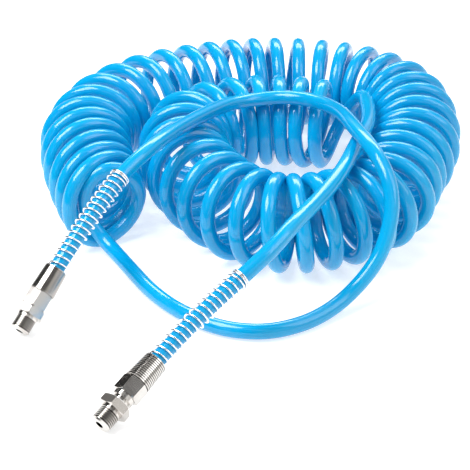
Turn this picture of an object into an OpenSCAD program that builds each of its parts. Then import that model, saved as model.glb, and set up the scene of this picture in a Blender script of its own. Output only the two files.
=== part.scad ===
// Coiled air hose: a recoil hose laid in a spiral ring, with two free leads.
// One lead ends in a rigid male fitting and the other in a swivel male fitting.
// Units are millimetres, +Z is up, and the hose rests on z = 0.

/* [Hose] */
// Outside diameter of the hose
hose_od = 10; // [8:0.5:12]
// Bore of the hose
hose_id = 6.5; // [5:0.5:7.5]
// Outside diameter of the turns of the coil
coil_od = 66; // [56:1:76]

/* [Male Thread] */
// Outside diameter of the taper thread
thread_d = 13.157; // [12:0.1:17]
// Length of the thread
thread_len = 11; // [9:0.5:15]
// Distance from one thread groove to the next
thread_pitch = 1.337; // [0.9:0.05:2]
// Depth of the thread grooves
thread_depth = 0.7; // [0.3:0.05:0.9]
// Diameter of the air passage through both fittings
passage_d = 5; // [3.5:0.25:5.5]

/* [Fixed Hexagons] */
// Width across the flats of the hexagon behind each thread
hex_af = 17; // [16:0.5:24]
// Thickness of the hexagon behind each thread
hex_len = 5.6; // [4:0.2:9]

/* [Clamp Nuts] */
// Width across the flats of the clamp nut
nut_af = 15; // [14.5:0.5:20]
// Length of the clamp nut's hexagon
nut_hex_len = 11; // [8:0.5:16]
// Length of the clamp nut's ribbed sleeve
sleeve_len = 17.5; // [14:0.5:26]
// Number of grooves round the ribbed sleeve
rib_count = 12; // [6:1:16]
// Depth of the grooves round the ribbed sleeve
rib_depth = 0.35; // [0.1:0.05:0.6]
// Metal left round the spring guard in the mouth of the sleeve
sleeve_wall = 0.8; // [0.7:0.1:2]
// How much the sleeve's radius narrows towards the hose
sleeve_taper = 0.8; // [0:0.1:1.5]
// Outside diameter of the thread that the clamp nut screws onto
screw_d = 12.5; // [11.5:0.25:12.75]
// Length of the thread that the clamp nut screws onto
screw_len = 9; // [6:0.5:11]

/* [Spring Guards] */
// Diameter of the spring wire
wire_d = 1.2; // [0.8:0.1:1.8]
// Length of guard that stands out of the clamp nut, along its bend
guard_len = 76; // [50:2:100]
// Number of open windings in a guard
guard_turns = 17; // [12:1:20]
// Depth that the guard reaches into the clamp nut
guard_seat = 5; // [3:0.5:7]

/* [Swivel] */
// Diameter of the journal that the stem turns on
journal_d = 9.1; // [8:0.1:9.3]
// Length of the journal inside the stem
journal_len = 9; // [7:0.5:10]
// Length of the neck between the washer and the collar
neck_len = 2; // [1:0.25:5]
// Diameter of that neck, which stops the washer
neck_d = 10.6; // [10:0.1:12]
// Diameter of the collar that the clamp nut stops against
collar_d = 13.8; // [13.5:0.1:16]
// Thickness of that collar
collar_len = 3; // [2:0.25:6]
// Thickness of the thrust washer
washer_len = 1; // [0.6:0.1:2]
// Wire diameter of the retaining ring
ring_wire_d = 1; // [0.8:0.1:1.2]
// Section diameter of the seal ring
seal_section_d = 1.1; // [0.8:0.1:1.3]

/* [Clearances] */
// Radial running clearance of the swivel
run_gap = 0.05; // [0.02:0.01:0.1]
// Radial clearance of the clamp nut on its thread and on the hose
nut_gap = 0.06; // [0.04:0.01:0.2]
// Radial clearance between the spring wire and the hose
guard_gap = 0.45; // [0.4:0.05:0.8]

/* [Hidden] */

hose_colour = "deepskyblue";
lead_colour = "turquoise";
nickel_colour = "silver";
wire_colour = "gainsboro";
seal_colour = "black";

round_fn = 96;
chamfer = 1;
small_chamfer = 0.4;
spigot_wall_gap = 0.05;
spigot_len = 17;
barb_depth = 0.25;
barb_count = 4;
screw_thread_depth = 0.4;

// Middle of the coil: one point for every second turn of the hose.
turns_per_point = 2;
coil_route = [
    [-84, -20], [-93, 8], [-102, 46], [-105, 83], [-93, 122], [-66, 153], [-32, 171],
    [0, 181], [31, 184], [65, 180], [96, 168], [121, 143], [129, 106], [125, 64],
    [112, 28], [101, -7], [80, -29], [53, -42], [25, -42], [-1, -24], [-23, 12],
    [-35, 50], [-30, 91], [1, 110], [32, 113], [62, 106], [96, 92]];
coil_first_turn = 0.25;
coil_last_turn = 50.5;

// Long lead: from the first turn, round the floor, over the coil and down to the rigid end.
long_route = [
    [-63, 1, 33], [-66, -4, 46], [-75, -10, 56], [-87, -14, 58], [-97, -17, 51], [-101, -19, 40],
    [-100, -20, 28], [-94, -21, 17], [-86, -26, 9], [-78, -37, 6], [-67, -57, 5], [-54, -82, 5],
    [-36, -106, 5], [-13, -125, 5], [4, -131, 5], [24, -131, 5], [47, -119, 5], [67, -101, 8],
    [83, -88, 19], [92, -81, 30], [97, -74, 43], [100, -65, 58], [97, -54, 73], [89, -36, 82],
    [79, -3, 82], [73, 32, 76], [64, 64, 68], [49, 81, 65], [31, 88, 63], [12, 85, 62], [-4, 72, 65],
    [-21, 42, 71], [-40, 6, 76], [-56, -27, 78]];

// Short lead: from the last turn, over the front of the coil and out to the swivel end.
short_route = [
    [57, 78, 33], [57, 80, 21], [60, 88, 11], [64, 100, 6], [69, 113, 10], [75, 123, 22],
    [82, 126, 33], [88, 121, 45], [92, 108, 55], [93, 88, 60], [93, 66, 63], [90, 34, 67],
    [82, 4, 70], [72, -34, 72], [62, -59, 70], [51, -79, 68], [35, -111, 68], [22, -130, 62]];

// Where each fitting's thread end stands, the way it points and how far it is tilted up.
rigid_tip = [-133, -130.2];
rigid_heading = 53.4;
rigid_tilt = 36.6;
swivel_tip = [-76.7, -231.6];
swivel_heading = 49.3;
swivel_tilt = 21.9;

// How far each guard bends along its length, and the direction it bends to about its axis.
rigid_bend = 11;
rigid_bend_to = 0;
swivel_bend = 7.8;
swivel_bend_to = -75;
bend_steps = 5;

// How far each hexagon is turned about its fitting's axis.
rigid_hexagon_turn = 30;
rigid_nut_turn = 30;
stem_hexagon_turn = 18;
swivel_nut_turn = 6;

// Moves everything so that the origin is under the middle of the footprint.
layout_shift = [-11.4, 11.7, 0];

coil_z = coil_od / 2;
coil_sides = 18;
coil_rings = 29;
lead_sides = 12;

// Spring guard, from the hose outwards.
wire_r = wire_d / 2;
guard_mean_r = hose_od / 2 + guard_gap + wire_r;
guard_outer_r = guard_mean_r + wire_r;
closed_turns = 2;
closed_pitch = wire_d + 0.15;
wire_sides = 6;
steps_per_turn = 12;

// Core inside the grooves, which runs from each thread through its hexagon or collar.
core_r = min(thread_d / 2 - thread_depth, screw_d / 2 - screw_thread_depth) - 0.1;

// Clamp nut, from its front face at z = 0 towards the hose.
nut_len = nut_hex_len + sleeve_len;
nut_screw_r = screw_d / 2 + nut_gap;
nut_clamp_r = hose_od / 2 + nut_gap;
nut_mouth_r = guard_outer_r + 2 * nut_gap;
sleeve_r = nut_mouth_r + sleeve_wall + sleeve_taper;
sleeve_end_chamfer = 0.4;
face_gap = 0.05;

// Places along each fitting, measured from its thread end.
rigid_nut_z = thread_len + hex_len + face_gap;
washer_z = thread_len + hex_len + face_gap;
neck_z = washer_z + washer_len + face_gap;
collar_z = neck_z + neck_len;
swivel_nut_z = collar_z + collar_len + face_gap;
passage_len = swivel_nut_z + nut_len;

// Swivel joint inside the stem.
socket_r = journal_d / 2 + run_gap;
socket_floor_z = washer_z - journal_len - face_gap;
journal_end_z = washer_z - journal_len + face_gap;
ring_z = thread_len + hex_len / 2;
ring_groove_w = ring_wire_d + 0.2;
ring_groove_r = journal_d / 2 + ring_wire_d / 2 + run_gap;
seal_z = journal_end_z + 2.2;
seal_mean_r = journal_d / 2 - seal_section_d / 2 + run_gap / 2;
seal_groove_r = seal_mean_r - seal_section_d / 2 - run_gap / 2;
seal_groove_w = seal_section_d + 0.4;

function unit_of(v) = v / norm(v);

// Point at u on the smooth curve through the points p, where whole values of u are the points.
function curve_point(p, u) =
    let (last = len(p) - 1)
    let (i = min(max(floor(u), 0), last - 1))
    let (t = u - i)
    let (b = p[i])
    let (c = p[i + 1])
    let (a = i > 0 ? p[i - 1] : 2 * b - c)
    let (d = i < last - 1 ? p[i + 2] : 2 * c - b)
    0.5 * (2 * b + (c - a) * t + (2 * a - 5 * b + 4 * c - d) * t * t + (3 * b - a - 3 * c + d) * t * t * t);

// Directions along a list of points, with the first and last ones given.
function directions(p, first, last) = [
    for (i = [0 : len(p) - 1])
        i == 0 ? unit_of(first) : i == len(p) - 1 ? unit_of(last) : unit_of(p[i + 1] - p[i - 1])];

function square_to(n, t) = unit_of(n - (n * t) * t);

// A side direction for each point, carried along without twisting.
function carried(t, i, n) = i >= len(t) ? [] : let (m = square_to(n, t[i])) concat([m], carried(t, i + 1, m));

// Closed tube of radius r along the points p, with flat ends.
module sweep_tube(p, t, r, sides, side_hint) {
    n = carried(t, 0, side_hint);
    count = len(p);
    skin = [
        for (i = [0 : count - 1], k = [0 : sides - 1])
            let (a = 360 * k / sides)
            p[i] + r * (cos(a) * n[i] + sin(a) * cross(t[i], n[i]))];
    walls = [
        for (i = [0 : count - 2], k = [0 : sides - 1])
            let (q = (k + 1) % sides)
            for (h = [0, 1])
                h == 0
                    ? [i * sides + k, (i + 1) * sides + k, (i + 1) * sides + q]
                    : [i * sides + k, (i + 1) * sides + q, i * sides + q]];
    near_end = [for (k = [0 : sides - 1]) k];
    far_end = [for (k = [sides - 1 : -1 : 0]) (count - 1) * sides + k];
    polyhedron(points = skin, faces = concat(walls, [near_end, far_end]), convexity = 10);
}

function axis_of(heading, tilt) = [cos(tilt) * cos(heading), cos(tilt) * sin(heading), sin(tilt)];

// Height of a fitting's thread end, with the edge of its thread on the floor.
function tip_z(tilt) = thread_d / 2 * cos(tilt) - chamfer * sin(tilt);

// Place on the floor plan of a point that is given in a fitting's own directions.
function placed(tip, heading, tilt, q) =
    [tip[0], tip[1], tip_z(tilt)]
    + q[0] * [sin(tilt) * cos(heading), sin(tilt) * sin(heading), -cos(tilt)]
    + q[1] * [-sin(heading), cos(heading), 0]
    + q[2] * axis_of(heading, tilt);

function bend_at(bend, z) = z <= 0 ? 0 : bend * z / guard_len;

// Middle of a guard at z past the mouth of its nut, in the fitting's own directions.
function guard_middle(bend, to, z) =
    let (a = bend_at(bend, z))
    let (r = guard_len / (bend * PI / 180))
    z <= 0 ? [0, 0, z] : [r * (1 - cos(a)) * cos(to), r * (1 - cos(a)) * sin(to), r * sin(a)];

// The vector v, turned by the angle a in the plane that a guard bends in.
function bent(v, to, a) =
    let (m = [-sin(to), cos(to), 0])
    v * cos(a) + cross(m, v) * sin(a) + m * (m * v) * (1 - cos(a));

module at_fitting(tip, heading, tilt) {
    translate(layout_shift)
        translate([tip[0], tip[1], tip_z(tilt)])
            rotate([0, 90 - tilt, heading])
                children();
}

module at_rigid() {
    at_fitting(rigid_tip, rigid_heading, rigid_tilt)
        children();
}

module at_swivel() {
    at_fitting(swivel_tip, swivel_heading, swivel_tilt)
        children();
}

// Hexagonal bar with both ends turned to a chamfer.
module chamfered_hexagon(across_flats, length, turn) {
    corner_r = across_flats / 2 / cos(30);
    rotate([0, 0, turn])
        intersection() {
            cylinder(r = corner_r, h = length, $fn = 6);
            rotate_extrude($fn = round_fn)
                polygon([
                    [0, 0], [across_flats / 2, 0], [corner_r, small_chamfer + 0.3],
                    [corner_r, length - small_chamfer - 0.3], [across_flats / 2, length], [0, length]]);
        }
}

function groove_starts(z0, z1, pitch) = [for (z = z0; z + pitch < z1; z = z + pitch) z];

// Threaded shank along z, with v grooves and a chamfer at the start.
module threaded_shank(r, length, pitch, depth, lead_in) {
    starts = groove_starts(lead_in + 0.3, length - 0.6, pitch);
    rotate_extrude($fn = round_fn)
        polygon(concat(
            [[0, 0], [r - lead_in, 0], [r, lead_in]],
            [for (z = starts, k = [0 : 3])
                k == 0 ? [r, z] : k == 1 ? [r - depth, z + pitch * 0.38]
                : k == 2 ? [r - depth, z + pitch * 0.5] : [r, z + pitch * 0.88]],
            [[r, length], [0, length]]));
}

// Hose tail with barbs, from z = 0 towards the hose.
module barbed_spigot() {
    tail_r = hose_id / 2 - spigot_wall_gap;
    barb_pitch = spigot_len / barb_count;
    rotate_extrude($fn = round_fn)
        polygon(concat(
            [[0, 0]],
            [for (i = [0 : barb_count - 1], k = [0, 1])
                [k == 0 ? tail_r : tail_r - barb_depth, (i + k) * barb_pitch]],
            [[0, spigot_len]]));
}

// Back half of both fittings: clamp thread and hose tail.
module hose_tail() {
    threaded_shank(screw_d / 2, screw_len, thread_pitch * 0.75, screw_thread_depth, small_chamfer);
    translate([0, 0, screw_len])
        barbed_spigot();
}

function sleeve_r_at(z) = sleeve_r - sleeve_taper * z / sleeve_len;

module clamp_nut(turn) {
    groove_pitch = sleeve_len / (rib_count + 1);
    difference() {
        union() {
            chamfered_hexagon(nut_af, nut_hex_len, turn);
            translate([0, 0, nut_hex_len])
                rotate_extrude($fn = round_fn)
                    polygon(concat(
                        [[0, -1], [nut_af / 2 - 0.1, -1], [nut_af / 2 - 0.1, 0], [sleeve_r - rib_depth, 0]],
                        [for (i = [0 : rib_count], k = [0 : 3])
                            let (z = groove_pitch * (i + [0.08, 0.25, 0.75, 0.92][k]))
                            [sleeve_r_at(z) - (k == 0 || k == 3 ? rib_depth : 0), z]],
                        [[sleeve_r_at(sleeve_len) - sleeve_end_chamfer, sleeve_len], [0, sleeve_len]]));
        }
        translate([0, 0, -1])
            cylinder(r = nut_screw_r, h = screw_len + 1.5, $fn = round_fn);
        cylinder(r = nut_clamp_r, h = nut_len + 1, $fn = round_fn);
        translate([0, 0, nut_len - guard_seat - face_gap])
            cylinder(r = nut_mouth_r, h = guard_seat + 1, $fn = round_fn);
    }
}

// Height of the guard's wire after some turns: open windings first, then the closed end.
function wire_z(turns) =
    let (open_pitch = (guard_seat + guard_len - closed_turns * closed_pitch - wire_d) / guard_turns)
    wire_r + open_pitch * min(turns, guard_turns) + closed_pitch * max(turns - guard_turns, 0);

// Wound guard, from its end inside the clamp nut at z = 0, along the bend of its hose.
module spring_guard(bend, to) {
    all_steps = (guard_turns + closed_turns) * steps_per_turn;
    line = [
        for (i = [0 : all_steps])
            let (t = 360 * i / steps_per_turn)
            let (z = wire_z(i / steps_per_turn) - guard_seat)
            let (a = bend_at(bend, z))
            guard_middle(bend, to, z) + [0, 0, guard_seat]
            + guard_mean_r * (cos(t) * bent([1, 0, 0], to, a) + sin(t) * bent([0, 1, 0], to, a))];
    sweep_tube(line, directions(line, [0, 1, 0], bent([0, 1, 0], to, bend)), wire_r, wire_sides, [1, 0, 0]);
}

module straight_hose(length) {
    difference() {
        cylinder(d = hose_od, h = length, $fn = round_fn);
        translate([0, 0, -1])
            cylinder(d = hose_id, h = length + 2, $fn = round_fn);
    }
}

module hose_coil() {
    first = coil_first_turn / turns_per_point;
    last = coil_last_turn / turns_per_point;
    line = [
        for (i = [0 : coil_rings - 1])
            let (q = curve_point(coil_route, first + (last - first) * i / (coil_rings - 1)))
            [q[0], q[1], coil_z]];
    color(hose_colour)
        translate(layout_shift)
            sweep_tube(line, directions(line, line[1] - line[0], line[coil_rings - 1] - line[coil_rings - 2]),
                coil_od / 2, coil_sides, [0, 0, 1]);
}

// Free lead along its own points, then through the guard, ending at the mouth of the nut.
module free_lead(route, tip, heading, tilt, bend, to, mouth_z) {
    line = concat(route, [
        for (i = [bend_steps : -1 : 0])
            placed(tip, heading, tilt, guard_middle(bend, to, guard_len * i / bend_steps) + [0, 0, mouth_z])]);
    color(lead_colour)
        translate(layout_shift)
            sweep_tube(line, directions(line, line[1] - line[0], -axis_of(heading, tilt)),
                hose_od / 2, lead_sides, [0, 1, 0]);
}

module hose_long_lead() {
    free_lead(long_route, rigid_tip, rigid_heading, rigid_tilt, rigid_bend, rigid_bend_to,
        rigid_nut_z + nut_len);
}

module hose_short_lead() {
    free_lead(short_route, swivel_tip, swivel_heading, swivel_tilt, swivel_bend, swivel_bend_to,
        swivel_nut_z + nut_len);
}

module hose_rigid_end() {
    color(lead_colour)
        at_rigid()
            translate([0, 0, rigid_nut_z + screw_len])
                straight_hose(nut_len - screw_len);
}

module hose_swivel_end() {
    color(lead_colour)
        at_swivel()
            translate([0, 0, swivel_nut_z + screw_len])
                straight_hose(nut_len - screw_len);
}

module rigid_body() {
    color(nickel_colour)
        at_rigid()
            difference() {
                union() {
                    threaded_shank(thread_d / 2, thread_len, thread_pitch, thread_depth, chamfer);
                    translate([0, 0, thread_len])
                        chamfered_hexagon(hex_af, hex_len, rigid_hexagon_turn);
                    translate([0, 0, thread_len / 2])
                        cylinder(r = core_r, h = rigid_nut_z + (screw_len - thread_len) / 2, $fn = round_fn);
                    translate([0, 0, rigid_nut_z])
                        hose_tail();
                }
                translate([0, 0, -1])
                    cylinder(d = passage_d, h = passage_len, $fn = round_fn);
            }
}

module rigid_clamp_nut() {
    color(nickel_colour)
        at_rigid()
            translate([0, 0, rigid_nut_z])
                clamp_nut(rigid_nut_turn);
}

module rigid_spring_guard() {
    color(wire_colour)
        at_rigid()
            translate([0, 0, rigid_nut_z + nut_len - guard_seat])
                spring_guard(rigid_bend, rigid_bend_to);
}

module swivel_body() {
    color(nickel_colour)
        at_swivel()
            difference() {
                union() {
                    translate([0, 0, journal_end_z])
                        cylinder(d = journal_d, h = neck_z - journal_end_z, $fn = round_fn);
                    translate([0, 0, neck_z])
                        cylinder(d = neck_d, h = neck_len, $fn = round_fn);
                    translate([0, 0, collar_z])
                        cylinder(d = collar_d, h = collar_len, $fn = round_fn);
                    translate([0, 0, collar_z + collar_len / 2])
                        cylinder(r = core_r, h = (collar_len + screw_len) / 2 + face_gap, $fn = round_fn);
                    translate([0, 0, swivel_nut_z])
                        hose_tail();
                }
                translate([0, 0, ring_z - ring_groove_w / 2])
                    groove_ring(journal_d / 2 - ring_wire_d / 2 - run_gap, journal_d / 2 + 1, ring_groove_w);
                translate([0, 0, seal_z - seal_groove_w / 2])
                    groove_ring(seal_groove_r, journal_d / 2 + 1, seal_groove_w);
                translate([0, 0, journal_end_z - 1])
                    cylinder(d = passage_d, h = passage_len, $fn = round_fn);
            }
}

// Square ring, used to cut a groove.
module groove_ring(inner_r, outer_r, width) {
    difference() {
        cylinder(r = outer_r, h = width, $fn = round_fn);
        translate([0, 0, -1])
            cylinder(r = inner_r, h = width + 2, $fn = round_fn);
    }
}

module swivel_clamp_nut() {
    color(nickel_colour)
        at_swivel()
            translate([0, 0, swivel_nut_z])
                clamp_nut(swivel_nut_turn);
}

module swivel_spring_guard() {
    color(wire_colour)
        at_swivel()
            translate([0, 0, swivel_nut_z + nut_len - guard_seat])
                spring_guard(swivel_bend, swivel_bend_to);
}

module swivel_seal_ring() {
    color(seal_colour)
        at_swivel()
            translate([0, 0, seal_z])
                rotate_extrude($fn = round_fn)
                    translate([seal_mean_r, 0])
                        circle(d = seal_section_d, $fn = 32);
}

module swivel_retaining_ring() {
    color(wire_colour)
        at_swivel()
            translate([0, 0, ring_z])
                rotate_extrude($fn = round_fn)
                    translate([journal_d / 2, 0])
                        circle(d = ring_wire_d, $fn = 32);
}

module swivel_thrust_washer() {
    color(seal_colour)
        at_swivel()
            translate([0, 0, washer_z])
                groove_ring(socket_r, collar_d / 2 - 0.6, washer_len);
}

module swivel_stem() {
    color(nickel_colour)
        at_swivel()
            difference() {
                union() {
                    threaded_shank(thread_d / 2, thread_len, thread_pitch, thread_depth, chamfer);
                    translate([0, 0, thread_len])
                        chamfered_hexagon(hex_af, hex_len, stem_hexagon_turn);
                    translate([0, 0, thread_len / 2])
                        cylinder(r = core_r, h = (thread_len + hex_len) / 2, $fn = round_fn);
                }
                translate([0, 0, -1])
                    cylinder(d = passage_d, h = socket_floor_z + 2, $fn = round_fn);
                translate([0, 0, socket_floor_z])
                    cylinder(r = socket_r, h = journal_len + 2, $fn = round_fn);
                translate([0, 0, ring_z - ring_groove_w / 2])
                    cylinder(r = ring_groove_r, h = ring_groove_w, $fn = round_fn);
            }
}

hose_coil();
hose_long_lead();
hose_short_lead();
hose_rigid_end();
hose_swivel_end();
rigid_body();
rigid_clamp_nut();
rigid_spring_guard();
swivel_body();
swivel_clamp_nut();
swivel_spring_guard();
swivel_seal_ring();
swivel_retaining_ring();
swivel_thrust_washer();
swivel_stem();
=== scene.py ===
import math

import bpy
import numpy as np
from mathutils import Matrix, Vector


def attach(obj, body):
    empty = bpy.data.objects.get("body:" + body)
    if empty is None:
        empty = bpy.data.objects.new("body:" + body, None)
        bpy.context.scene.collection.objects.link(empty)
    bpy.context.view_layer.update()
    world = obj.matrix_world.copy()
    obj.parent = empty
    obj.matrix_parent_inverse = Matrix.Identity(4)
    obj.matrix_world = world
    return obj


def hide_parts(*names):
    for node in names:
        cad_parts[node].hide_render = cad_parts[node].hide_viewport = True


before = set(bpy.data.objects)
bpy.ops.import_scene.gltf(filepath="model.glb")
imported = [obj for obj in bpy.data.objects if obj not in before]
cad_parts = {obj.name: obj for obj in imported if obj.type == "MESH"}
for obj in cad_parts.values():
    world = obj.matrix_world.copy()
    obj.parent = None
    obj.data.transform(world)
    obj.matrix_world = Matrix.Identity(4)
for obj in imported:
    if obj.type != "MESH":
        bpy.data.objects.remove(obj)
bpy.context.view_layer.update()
fixedBody = "hose_and_fittings"
mm = 0.001

# everything below is laid out in millimetres, then moved by this to stand on the part's own origin
layoutShift = np.array([-11.4, 11.7, 0.0])


# --- camera, in the part's frame

cameraLook = {
    "lens": 134.8,
    "distance": 1200.0,  # mm from the floor point it looks at
    "elevation": 29.0,
    "target": (0.0, 0.0, 0.0),
    "clip": (0.05, 20.0),
}


def makeCamera():
    data = bpy.data.cameras.new("camera")
    data.lens = cameraLook["lens"]
    data.clip_start, data.clip_end = cameraLook["clip"]
    cam = bpy.data.objects.new("camera", data)
    bpy.context.collection.objects.link(cam)
    tilt = math.radians(cameraLook["elevation"])
    back = np.array([0, -math.cos(tilt), math.sin(tilt)]) * cameraLook["distance"]
    target = np.array(cameraLook["target"]) + layoutShift
    cam.location = Vector((target + back) * mm)
    cam.rotation_euler = (math.pi / 2 - tilt, 0, 0)
    bpy.context.scene.camera = cam


# --- the hose's route, in millimetres

hoseSizes = {
    "outside": 10.0,
    "bore": 6.5,
    "coilOutside": 66.0,
    "sides": 20,
    "stepsPerTurn": 48,
    "leadStep": 2.5,  # mm between rings on the free leads
    "softening": 22,  # passes that even out the leads' bends
    "fineness": 24,  # places worked out between two points of a lead's route
    "joinReach": 12,  # rings each side of a join with the coil that are eased
    "joinPasses": 14,
    "firstTurn": 0.25,
    "lastTurn": 50.25,
    "turnsPerPoint": 2,
    "endYaw": 22.0,  # degrees that the first turn is swung round
    "yawTurns": 9,  # turns over which that swing dies out
}

coilRoute = [
    [-84, -20], [-93, 8], [-102, 46], [-105, 83], [-93, 122], [-66, 153], [-32, 171],
    [0, 181], [31, 184], [65, 180], [96, 168], [121, 143], [129, 106], [125, 64],
    [112, 28], [101, -7], [80, -29], [53, -42], [25, -42], [-1, -24], [-23, 12],
    [-35, 50], [-30, 91], [1, 110], [32, 113], [62, 106], [96, 92]]

longRoute = [
    [-63, 1, 33], [-66, -4, 46], [-75, -10, 56], [-87, -14, 58], [-97, -17, 51], [-101, -19, 40],
    [-100, -20, 28], [-94, -21, 17], [-86, -26, 9], [-78, -37, 6], [-67, -57, 5], [-54, -82, 5],
    [-36, -106, 5], [-13, -125, 5], [4, -131, 5], [24, -131, 5], [47, -119, 5], [67, -101, 8],
    [83, -88, 19], [92, -81, 30], [97, -74, 43], [100, -65, 58], [97, -54, 73], [89, -36, 82],
    [79, -3, 82], [73, 32, 76], [64, 64, 68], [49, 81, 65], [31, 88, 63], [12, 85, 62], [-4, 72, 65],
    [-21, 42, 71], [-40, 6, 76], [-56, -27, 78]]

shortRoute = [
    [57, 78, 33], [57, 80, 21], [60, 88, 11], [64, 100, 6], [69, 113, 10], [75, 123, 22],
    [82, 126, 33], [88, 121, 45], [92, 108, 55], [93, 88, 60], [93, 66, 63], [90, 34, 67],
    [82, 4, 70], [72, -34, 72], [62, -59, 70], [51, -79, 68], [35, -111, 68], [22, -130, 62]]

# each fitting: where its thread end stands, its heading and tilt, where its nut starts, and how far
# and which way its guard bends
fittings = {
    "rigid": {"tip": (-133, -130.2), "heading": 53.4, "tilt": 36.6, "nut": 16.65, "bend": 11, "bendTo": 0},
    "swivel": {
        "tip": (-76.7, -231.6), "heading": 49.3, "tilt": 21.9, "nut": 22.75, "bend": 7.8, "bendTo": -75},
}
fittingSizes = {
    "threadRadius": 6.5785,
    "threadChamfer": 1.0,
    "nutLength": 28.5,
    "hoseStart": 9.0,  # the hose butts the body this far inside the nut
    "guardSeat": 5.0,
    "guardLength": 76.0,
}


def fittingAxes(f):
    # the fitting's own directions: its underside, its side, and along it towards the hose
    tilt = math.radians(f["tilt"])
    heading = math.radians(f["heading"])
    under = [math.sin(tilt) * math.cos(heading), math.sin(tilt) * math.sin(heading), -math.cos(tilt)]
    along = [math.cos(tilt) * math.cos(heading), math.cos(tilt) * math.sin(heading), math.sin(tilt)]
    return np.array([under, [-math.sin(heading), math.cos(heading), 0], along])


def fittingPoint(f, own):
    # own is measured from the middle of the thread's end, in the fitting's own directions
    tilt = math.radians(f["tilt"])
    height = fittingSizes["threadRadius"] * math.cos(tilt) - fittingSizes["threadChamfer"] * math.sin(tilt)
    return np.array([f["tip"][0], f["tip"][1], height]) + np.asarray(own, float) @ fittingAxes(f)


def guardBend(f, past):
    # the angle turned, in radians, at each distance past the mouth of the nut
    return math.radians(f["bend"]) * np.maximum(past, 0) / fittingSizes["guardLength"]


def guardMiddle(f, past):
    # the guard's middle line, straight inside the nut and an even arc outside it
    past = np.atleast_1d(np.asarray(past, float))
    to = math.radians(f["bendTo"])
    radius = fittingSizes["guardLength"] / math.radians(f["bend"])
    angle = guardBend(f, past)
    aside = radius * (1 - np.cos(angle))
    ahead = np.where(past <= 0, past, radius * np.sin(angle))
    mouth = f["nut"] + fittingSizes["nutLength"]
    return np.stack([aside * math.cos(to), aside * math.sin(to), ahead + mouth], 1)


def bent(f, vector, angle):
    # a vector in the fitting's own directions, turned with the guard's bend
    to = math.radians(f["bendTo"])
    hinge = np.array([-math.sin(to), math.cos(to), 0.0])
    turned = np.cross(hinge, vector)
    held = hinge * (vector @ hinge)[:, None]
    return (vector * np.cos(angle)[:, None] + turned * np.sin(angle)[:, None]
            + held * (1 - np.cos(angle))[:, None])


def smoothAt(points, u):
    # Catmull-Rom through the points, with the ends carried straight on
    p = np.asarray(points, float)
    last = len(p) - 1
    u = np.atleast_1d(u)
    i = np.clip(np.floor(u).astype(int), 0, last - 1)
    t = (u - i)[:, None]
    b = p[i]
    c = p[i + 1]
    a = np.where((i > 0)[:, None], p[np.maximum(i - 1, 0)], 2 * b - c)
    d = np.where((i < last - 1)[:, None], p[np.minimum(i + 2, last)], 2 * c - b)
    return 0.5 * (2 * b + (c - a) * t + (2 * a - 5 * b + 4 * c - d) * t**2 + (3 * b - a - 3 * c + d) * t**3)


def evenly(line, step):
    gaps = np.linalg.norm(np.diff(line, axis=0), axis=1)
    along = np.concatenate([[0], np.cumsum(gaps)])
    count = max(2, int(round(along[-1] / step)) + 1)
    places = np.linspace(0, along[-1], count)
    return np.stack([np.interp(places, along, line[:, k]) for k in range(3)], 1)


def softened(line, passes):
    # evens out the bends without moving the ends
    line = line.copy()
    for _ in range(passes):
        line[1:-1] = 0.25 * line[:-2] + 0.5 * line[1:-1] + 0.25 * line[2:]
    return line


def coilTurns():
    s = hoseSizes
    steps = int(round((s["lastTurn"] - s["firstTurn"]) * s["stepsPerTurn"]))
    turns = s["firstTurn"] + np.arange(steps + 1) / s["stepsPerTurn"]
    u = turns / s["turnsPerPoint"]
    middle = smoothAt(coilRoute, u)
    ahead = smoothAt(coilRoute, u + 0.001) - smoothAt(coilRoute, u - 0.001)
    ahead /= np.linalg.norm(ahead, axis=1)[:, None]
    yaw = np.radians(s["endYaw"] * np.clip(1 - turns / s["yawTurns"], 0, 1))
    left = np.stack([-ahead[:, 1], ahead[:, 0]], 1)
    swungX = left[:, 0] * np.cos(yaw) - left[:, 1] * np.sin(yaw)
    swungY = left[:, 0] * np.sin(yaw) + left[:, 1] * np.cos(yaw)
    angle = 2 * math.pi * turns
    height = s["coilOutside"] / 2
    radius = height - s["outside"] / 2
    return np.stack([
        middle[:, 0] - radius * np.sin(angle) * swungX,
        middle[:, 1] - radius * np.sin(angle) * swungY,
        height + radius * np.cos(angle)], 1)


def freeLead(route, coilEnd, f):
    # from the coil's end, along the route and through the guard, to the mouth of the nut
    length = fittingSizes["guardLength"]
    shares = np.array([1, 0.8, 0.6, 0.4, 0.2, 0, -0.1])  # of the guard's length, past the mouth
    inGuard = fittingPoint(f, guardMiddle(f, length * shares))
    points = np.array([coilEnd] + route[1:] + inGuard.tolist(), float)
    last = len(points) - 2
    line = smoothAt(points, np.linspace(0, last, last * hoseSizes["fineness"] + 1))
    line = softened(evenly(line, hoseSizes["leadStep"]), hoseSizes["softening"])
    line[:, 2] = np.maximum(line[:, 2], hoseSizes["outside"] / 2)
    return line


def straightEnd(f):
    inner = f["nut"] + fittingSizes["hoseStart"]
    mouth = f["nut"] + fittingSizes["nutLength"]
    count = int((mouth - inner) / hoseSizes["leadStep"])
    return np.array([fittingPoint(f, (0, 0, z)) for z in np.linspace(inner, mouth, count)])


def hoseLine():
    # the whole hose, from the rigid fitting to the swivel fitting
    coil = coilTurns()
    rigidEnd = straightEnd(fittings["rigid"])
    swivelEnd = straightEnd(fittings["swivel"])
    long = freeLead(longRoute, coil[0], fittings["rigid"])
    short = freeLead(shortRoute, coil[-1], fittings["swivel"])
    line = np.concatenate([rigidEnd[:-1], long[::-1][:-1], coil[:-1], short[:-1], swivelEnd[::-1]])
    reach = hoseSizes["joinReach"]
    joins = (len(rigidEnd) + len(long) - 2, len(line) - len(swivelEnd) - len(short) + 1)
    for join in joins:
        part = slice(join - reach, join + reach + 1)
        line[part] = softened(line[part], hoseSizes["joinPasses"])
    return line + layoutShift


# --- meshes

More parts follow.
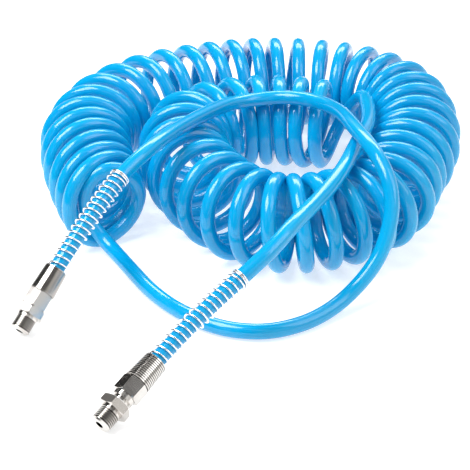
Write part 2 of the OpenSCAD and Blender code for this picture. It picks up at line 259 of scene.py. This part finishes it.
def meshObject(name, points, faces, material, smooth=True):
    mesh = bpy.data.meshes.new(name)
    mesh.from_pydata([tuple(p) for p in points], [], faces)
    mesh.polygons.foreach_set("use_smooth", [smooth] * len(mesh.polygons))
    mesh.materials.append(material)
    mesh.update()
    piece = bpy.data.objects.new(name, mesh)
    bpy.context.collection.objects.link(piece)
    return piece


def ringFrames(line, hint):
    ahead = np.gradient(line, axis=0)
    ahead /= np.linalg.norm(ahead, axis=1)[:, None]
    sides = np.zeros_like(line)
    side = np.array(hint, float)
    for i, t in enumerate(ahead):
        side = side - side.dot(t) * t
        side /= np.linalg.norm(side)
        sides[i] = side
    return sides, np.cross(ahead, sides)


def ringFaces(rings, sides):
    # four-cornered faces between each ring of points and the next
    faces = []
    for i in range(rings - 1):
        for k in range(sides):
            q = (k + 1) % sides
            faces.append((i * sides + k, i * sides + q, (i + 1) * sides + q, (i + 1) * sides + k))
    return faces


def tubeWall(line, radius, sides, hint, ends):
    # points and faces of one skin along a line; ends closes both with a flat cap
    across, up = ringFrames(line, hint)
    turn = 2 * np.pi * np.arange(sides) / sides
    rings = line[:, None] + radius * (
        np.cos(turn)[None, :, None] * across[:, None] + np.sin(turn)[None, :, None] * up[:, None])
    points = rings.reshape(-1, 3)
    faces = ringFaces(len(line), sides)
    if ends:
        faces.append(tuple(range(sides))[::-1])
        faces.append(tuple((len(line) - 1) * sides + k for k in range(sides)))
    return points, faces


def hollowTube(line, outer, inner, sides, hint):
    # outside skin, inside skin turned inwards, and a ring face at each end
    skin, skinFaces = tubeWall(line, outer, sides, hint, False)
    bore, boreFaces = tubeWall(line, inner, sides, hint, False)
    shift = len(skin)
    faces = skinFaces + [tuple(shift + v for v in f[::-1]) for f in boreFaces]
    last = (len(line) - 1) * sides
    for k in range(sides):
        q = (k + 1) % sides
        faces.append((q, k, shift + k, shift + q))
        faces.append((last + k, last + q, shift + last + q, shift + last + k))
    return np.concatenate([skin, bore]), faces


# --- materials

class Value:
    # wraps a shader socket so that maths on it reads as maths
    def __init__(self, book, socket):
        self.book = book
        self.socket = socket

    def math(self, operation, other, flipped=False):
        first, second = (other, self) if flipped else (self, other)
        return self.book.node("ShaderNodeMath", {"operation": operation}, {0: first, 1: second})

    def __add__(self, other):
        return self.math("ADD", other)

    __radd__ = __add__

    def __mul__(self, other):
        return self.math("MULTIPLY", other)

    __rmul__ = __mul__

    def __sub__(self, other):
        return self.math("SUBTRACT", other)

    def __rsub__(self, other):
        return self.math("SUBTRACT", other, True)


class Book:
    # one material and its nodes
    def __init__(self, name):
        self.material = bpy.data.materials.new(name)
        self.material.use_nodes = True
        self.nodes = self.material.node_tree.nodes
        self.links = self.material.node_tree.links
        self.shader = self.nodes["Principled BSDF"]

    def put(self, socket, value):
        if isinstance(value, Value):
            self.links.new(value.socket, socket)
        else:
            socket.default_value = value

    def node(self, kind, settings=None, inputs=None, out=0):
        made = self.nodes.new(kind)
        for key, value in (settings or {}).items():
            if key == "stops":
                self.setStops(made.color_ramp, value)
            else:
                setattr(made, key, value)
        for key, value in (inputs or {}).items():
            self.put(made.inputs[key], value)
        return Value(self, made.outputs[out])

    def setStops(self, ramp, stops):
        while len(ramp.elements) < len(stops):
            ramp.elements.new(1)
        for element, (place, colour) in zip(ramp.elements, stops):
            element.position = place
            element.color = colour

    def place(self):
        return self.node("ShaderNodeTexCoord", {}, {}, "Object")

    def noise(self, scale, detail=3, where=None):
        return self.node("ShaderNodeTexNoise", {}, {
            "Vector": where or self.place(), "Scale": scale, "Detail": detail})

    def ramp(self, factor, stops):
        return self.node("ShaderNodeValToRGB", {"stops": stops}, {0: factor})

    def blend(self, factor, a, b):
        return self.node("ShaderNodeMix", {"data_type": "RGBA"}, {0: factor, 6: a, 7: b}, 2)

    def vector(self, operation, a, b, out=0):
        return self.node("ShaderNodeVectorMath", {"operation": operation}, {0: a, 1: b}, out)

    def bump(self, height, strength, distance):
        return self.node("ShaderNodeBump", {}, {
            "Height": height, "Strength": strength, "Distance": distance})

    def set(self, **sockets):
        for name, value in sockets.items():
            self.put(self.shader.inputs[name.replace("_", " ")], value)
        return self.material


hoseLook = {
    "light": (0.001, 0.40, 0.72, 1),
    "deep": (0.0, 0.29, 0.62, 1),
    "cloudScale": 14,
    "speckScale": 900,
    "speckHeight": 0.0002,
    "roughness": 0.1,
    "smudge": 0.06,
    "ior": 1.52,
    "glow": 0.2,
    "glowReach": (0.2, 0.7, 1.0),
    "glowScale": 0.006,
}


def hoseMaterial():
    look = hoseLook
    book = Book("cyan hose polyurethane")
    speck = book.noise(look["speckScale"], 2)
    return book.set(
        Base_Color=book.blend(book.noise(look["cloudScale"], 2), look["deep"], look["light"]),
        Roughness=look["roughness"] + look["smudge"] * book.noise(60, 3),
        IOR=look["ior"],
        Subsurface_Weight=look["glow"],
        Subsurface_Radius=look["glowReach"],
        Subsurface_Scale=look["glowScale"],
        Normal=book.bump(speck, 0.04, look["speckHeight"]))


finePolish = 0.0001  # metres that the finest bumps stand up

metalLook = {
    "bright": (0.70, 0.69, 0.67, 1),
    "warm": (0.60, 0.57, 0.54, 1),
    # painted shade: the dark colour put into the bottoms of the thread and sleeve grooves
    "groove": (0.10, 0.095, 0.09, 1),
    "roughness": 0.1,
}


# painted shade in the grooves, darker towards their bottoms: where they run along a fitting, in mm, and the
# radius of their bottoms and tops
grooves = {
    "thread": {"from": 0.9, "to": 10.7, "bottom": 5.9, "top": 6.5, "taper": 0.0},
    "sleeve": {"from": -17.5, "to": 0.0, "bottom": 8.07, "top": 8.32, "taper": 0.0457},
}


def nickelMaterial(name, f, groove, origin):
    # origin is where on the fitting's axis the groove's own lengths are measured from
    book = Book(name)
    tint = book.ramp(book.noise(45, 3), [(0.35, metalLook["warm"]), (0.7, metalLook["bright"])])
    g = grooves[groove]
    start = (fittingPoint(f, (0, 0, origin)) + layoutShift) * mm
    offset = book.vector("SUBTRACT", book.place(), tuple(start))
    axis = tuple(fittingAxes(f)[2])
    along = book.vector("DOT_PRODUCT", offset, axis, 1) * (1 / mm)
    across = book.vector("LENGTH", book.vector("CROSS_PRODUCT", offset, axis), (0, 0, 0), 1) * (1 / mm)
    # painted shade: within the grooved length, the colour runs from the metal's tint at the grooves' tops
    # to the dark shade colour at their bottoms
    inside = along.math("GREATER_THAN", g["from"]) * along.math("LESS_THAN", g["to"])
    level = across + (along - g["from"]) * g["taper"]
    depth = (g["top"] - level) * (1 / (g["top"] - g["bottom"]))
    shade = inside * depth.math("MAXIMUM", 0.0).math("MINIMUM", 1.0)
    return book.set(
        Base_Color=book.blend(shade, tint, metalLook["groove"]),
        Metallic=1.0,
        Roughness=metalLook["roughness"] + 0.1 * book.noise(160, 4),
        Normal=book.bump(book.noise(700, 4), 0.08, finePolish))


# small parts: tint from dark to light with the noise scale and the stops it runs between, roughness
# with its spread and scale, and the grain's scale, detail and strength
smallParts = {
    "wire": {
        "name": "bright spring wire", "metallic": 1.0,
        "dark": (0.82, 0.83, 0.85, 1), "light": (0.97, 0.97, 0.98, 1), "tint": (120, 2, 0.3, 0.7),
        "roughness": (0.16, 0.1, 500), "grain": (1500, 2, 0.05)},
    "seal": {
        "name": "black seal rubber", "metallic": 0.0,
        "dark": (0.012, 0.012, 0.012, 1), "light": (0.03, 0.03, 0.032, 1), "tint": (300, 3, 0.3, 0.8),
        "roughness": (0.45, 0.15, 800), "grain": (1200, 3, 0.15)},
    "washer": {
        "name": "white washer plastic", "metallic": 0.0,
        "dark": (0.78, 0.78, 0.75, 1), "light": (0.86, 0.86, 0.83, 1), "tint": (250, 3, 0.3, 0.8),
        "roughness": (0.3, 0.1, 600), "grain": (900, 3, 0.08)},
}


def smallPartMaterial(kind):
    look = smallParts[kind]
    book = Book(look["name"])
    scale, detail, low, high = look["tint"]
    smooth, spread, patchScale = look["roughness"]
    grainScale, grainDetail, strength = look["grain"]
    return book.set(
        Base_Color=book.ramp(book.noise(scale, detail), [(low, look["dark"]), (high, look["light"])]),
        Metallic=look["metallic"],
        Roughness=smooth + spread * book.noise(patchScale, 3),
        Normal=book.bump(book.noise(grainScale, grainDetail), strength, finePolish))


# --- pieces

def makeHose():
    line = hoseLine() * mm
    points, faces = hollowTube(
        line, hoseSizes["outside"] / 2 * mm, hoseSizes["bore"] / 2 * mm, hoseSizes["sides"], (0, 0, 1))
    hose = meshObject("air_hose", points, faces, hoseMaterial())
    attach(hose, fixedBody)
    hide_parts("hose_coil", "hose_long_lead", "hose_short_lead", "hose_rigid_end", "hose_swivel_end")
    length = float(np.linalg.norm(np.diff(line, axis=0), axis=1).sum())
    print("hose length", round(length, 3), "m")
    return hose, line


guardSizes = {
    "wire": 1.2,
    "gap": 0.45,  # radial clearance to the hose
    "openTurns": 17,
    "closedTurns": 2,
    "closedPitch": 1.35,
    "sides": 12,
    "stepsPerTurn": 40,
}


def makeGuard(name, f, node, material):
    g = guardSizes
    radius = hoseSizes["outside"] / 2 + g["gap"] + g["wire"] / 2
    whole = fittingSizes["guardSeat"] + fittingSizes["guardLength"]
    openPitch = (whole - g["closedTurns"] * g["closedPitch"] - g["wire"]) / g["openTurns"]
    turns = np.arange((g["openTurns"] + g["closedTurns"]) * g["stepsPerTurn"] + 1) / g["stepsPerTurn"]
    along = (g["wire"] / 2 + openPitch * np.minimum(turns, g["openTurns"])
             + g["closedPitch"] * np.maximum(turns - g["openTurns"], 0))
    past = along - fittingSizes["guardSeat"]
    angle = 2 * np.pi * turns
    around = np.stack([np.cos(angle), np.sin(angle), 0 * angle], 1)
    own = guardMiddle(f, past) + radius * bent(f, around, guardBend(f, past))
    line = (fittingPoint(f, own) + layoutShift) * mm
    points, faces = tubeWall(line, g["wire"] / 2 * mm, g["sides"], fittingAxes(f)[0], True)
    guard = meshObject(name, points, faces, material)
    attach(guard, fixedBody)
    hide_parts(node)
    return guard


def dress(material, *nodes):
    # pieces taken over from the CAD keep their shape and get this material
    for node in nodes:
        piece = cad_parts[node]
        piece.data.materials.clear()
        piece.data.materials.append(material)


def dressFitting(side, *threadedNodes):
    f = fittings[side]
    mouth = f["nut"] + fittingSizes["nutLength"]
    # the body's thread and the nut's ribbed sleeve get painted shade in their grooves
    dress(nickelMaterial(side + " nickel body", f, "thread", 0), *threadedNodes)
    dress(nickelMaterial(side + " nickel nut", f, "sleeve", mouth), side + "_clamp_nut")


# --- stage

stageLook = {
    "floor": (0.62, 0.61, 0.60, 1),
    "floorPatch": (0.60, 0.60, 0.60, 1),
    "floorGlow": 0.62,
    "floorReach": 3.0,  # metres from the middle to each edge
    "floorLow": -0.0004,  # a hair under the part's lowest point
    "sky": (1.0, 1.0, 1.0, 1),
    "skyStrength": 0.36,
}

softboxes = {
    "key_softbox": {"place": (-0.7, -0.3, 1.3), "size": (0.9, 0.9), "power": 25.0},
    "fill_softbox": {"place": (0.9, -0.3, 0.9), "size": (0.7, 0.9), "power": 5.0},
    "back_softbox": {"place": (0.1, 1.2, 1.1), "size": (1.4, 0.5), "power": 15.0},
}

# the studio walls, which only reflections see
wallLook = {
    "radius": 2.4,  # metres
    "rings": 16,
    "sides": 48,
    "dark": (0.015, 0.015, 0.016, 1),
    "mid": (0.16, 0.16, 0.16, 1),
    "light": (0.85, 0.84, 0.82, 1),
    "stops": (0.40, 0.50, 0.62),  # of the patches, for dark, mid and light
    "patchScale": 0.9,
    "lighterRight": 0.08,
}


def makeSoftbox(name):
    box = softboxes[name]
    data = bpy.data.lights.new(name, "AREA")
    data.shape = "RECTANGLE"
    data.size, data.size_y = box["size"]
    data.energy = box["power"]
    lamp = bpy.data.objects.new(name, data)
    bpy.context.collection.objects.link(lamp)
    lamp.location = box["place"]
    lamp.rotation_mode = "QUATERNION"
    lamp.rotation_quaternion = (-Vector(box["place"])).to_track_quat("-Z", "Y")


def makeFloor():
    look = stageLook
    book = Book("white table")
    book.set(
        Base_Color=book.blend(book.noise(3, 2), look["floorPatch"], look["floor"]),
        Roughness=0.7,
        Specular_IOR_Level=0.1,
        Emission_Color=(1, 1, 1, 1),
        Emission_Strength=look["floorGlow"])
    far = look["floorReach"]
    corners = [(x, y, look["floorLow"]) for x, y in ((-far, -far), (far, -far), (far, far), (-far, far))]
    meshObject("floor", corners, [(0, 1, 2, 3)], book.material, False)


def makeWalls():
    w = wallLook
    book = Book("studio walls")
    right = book.node("ShaderNodeSeparateXYZ", {}, {0: book.place()})
    patches = book.noise(w["patchScale"], 1) + w["lighterRight"] * right
    tones = (w["dark"], w["mid"], w["light"])
    book.set(
        Base_Color=(0, 0, 0, 1),
        Roughness=1.0,
        Emission_Color=book.ramp(patches, list(zip(w["stops"], tones))),
        Emission_Strength=1.0)
    sides = w["sides"]
    points = []
    for i in range(w["rings"] + 1):
        rise = math.pi / 2 * i / w["rings"]
        wide = w["radius"] * math.cos(rise)
        high = w["radius"] * math.sin(rise)
        for k in range(sides):
            turn = 2 * math.pi * k / sides
            points.append((wide * math.cos(turn), wide * math.sin(turn), high))
    walls = meshObject("studio_walls", points, ringFaces(w["rings"] + 1, sides), book.material)
    walls.visible_camera = False
    walls.visible_diffuse = False
    walls.visible_shadow = False
    walls.visible_transmission = False


def makeStage():
    makeFloor()
    makeWalls()
    world = bpy.data.worlds.new("studio")
    world.use_nodes = True
    backdrop = world.node_tree.nodes["Background"].inputs
    backdrop["Color"].default_value = stageLook["sky"]
    backdrop["Strength"].default_value = stageLook["skyStrength"]
    scene = bpy.context.scene
    scene.world = world
    scene.view_settings.view_transform = "Standard"
    for name in softboxes:
        makeSoftbox(name)


print("camera")
makeCamera()

print("hose")
hose, hosePath = makeHose()

print("spring guards")
wire = smallPartMaterial("wire")
rigidGuard = makeGuard("rigid_guard_wire", fittings["rigid"], "rigid_spring_guard", wire)
swivelGuard = makeGuard("swivel_guard_wire", fittings["swivel"], "swivel_spring_guard", wire)

print("metal pieces")
dressFitting("rigid", "rigid_body")
dressFitting("swivel", "swivel_body", "swivel_stem")
dress(wire, "swivel_retaining_ring")
dress(smallPartMaterial("seal"), "swivel_seal_ring")
dress(smallPartMaterial("washer"), "swivel_thrust_washer")

print("stage")
makeStage()
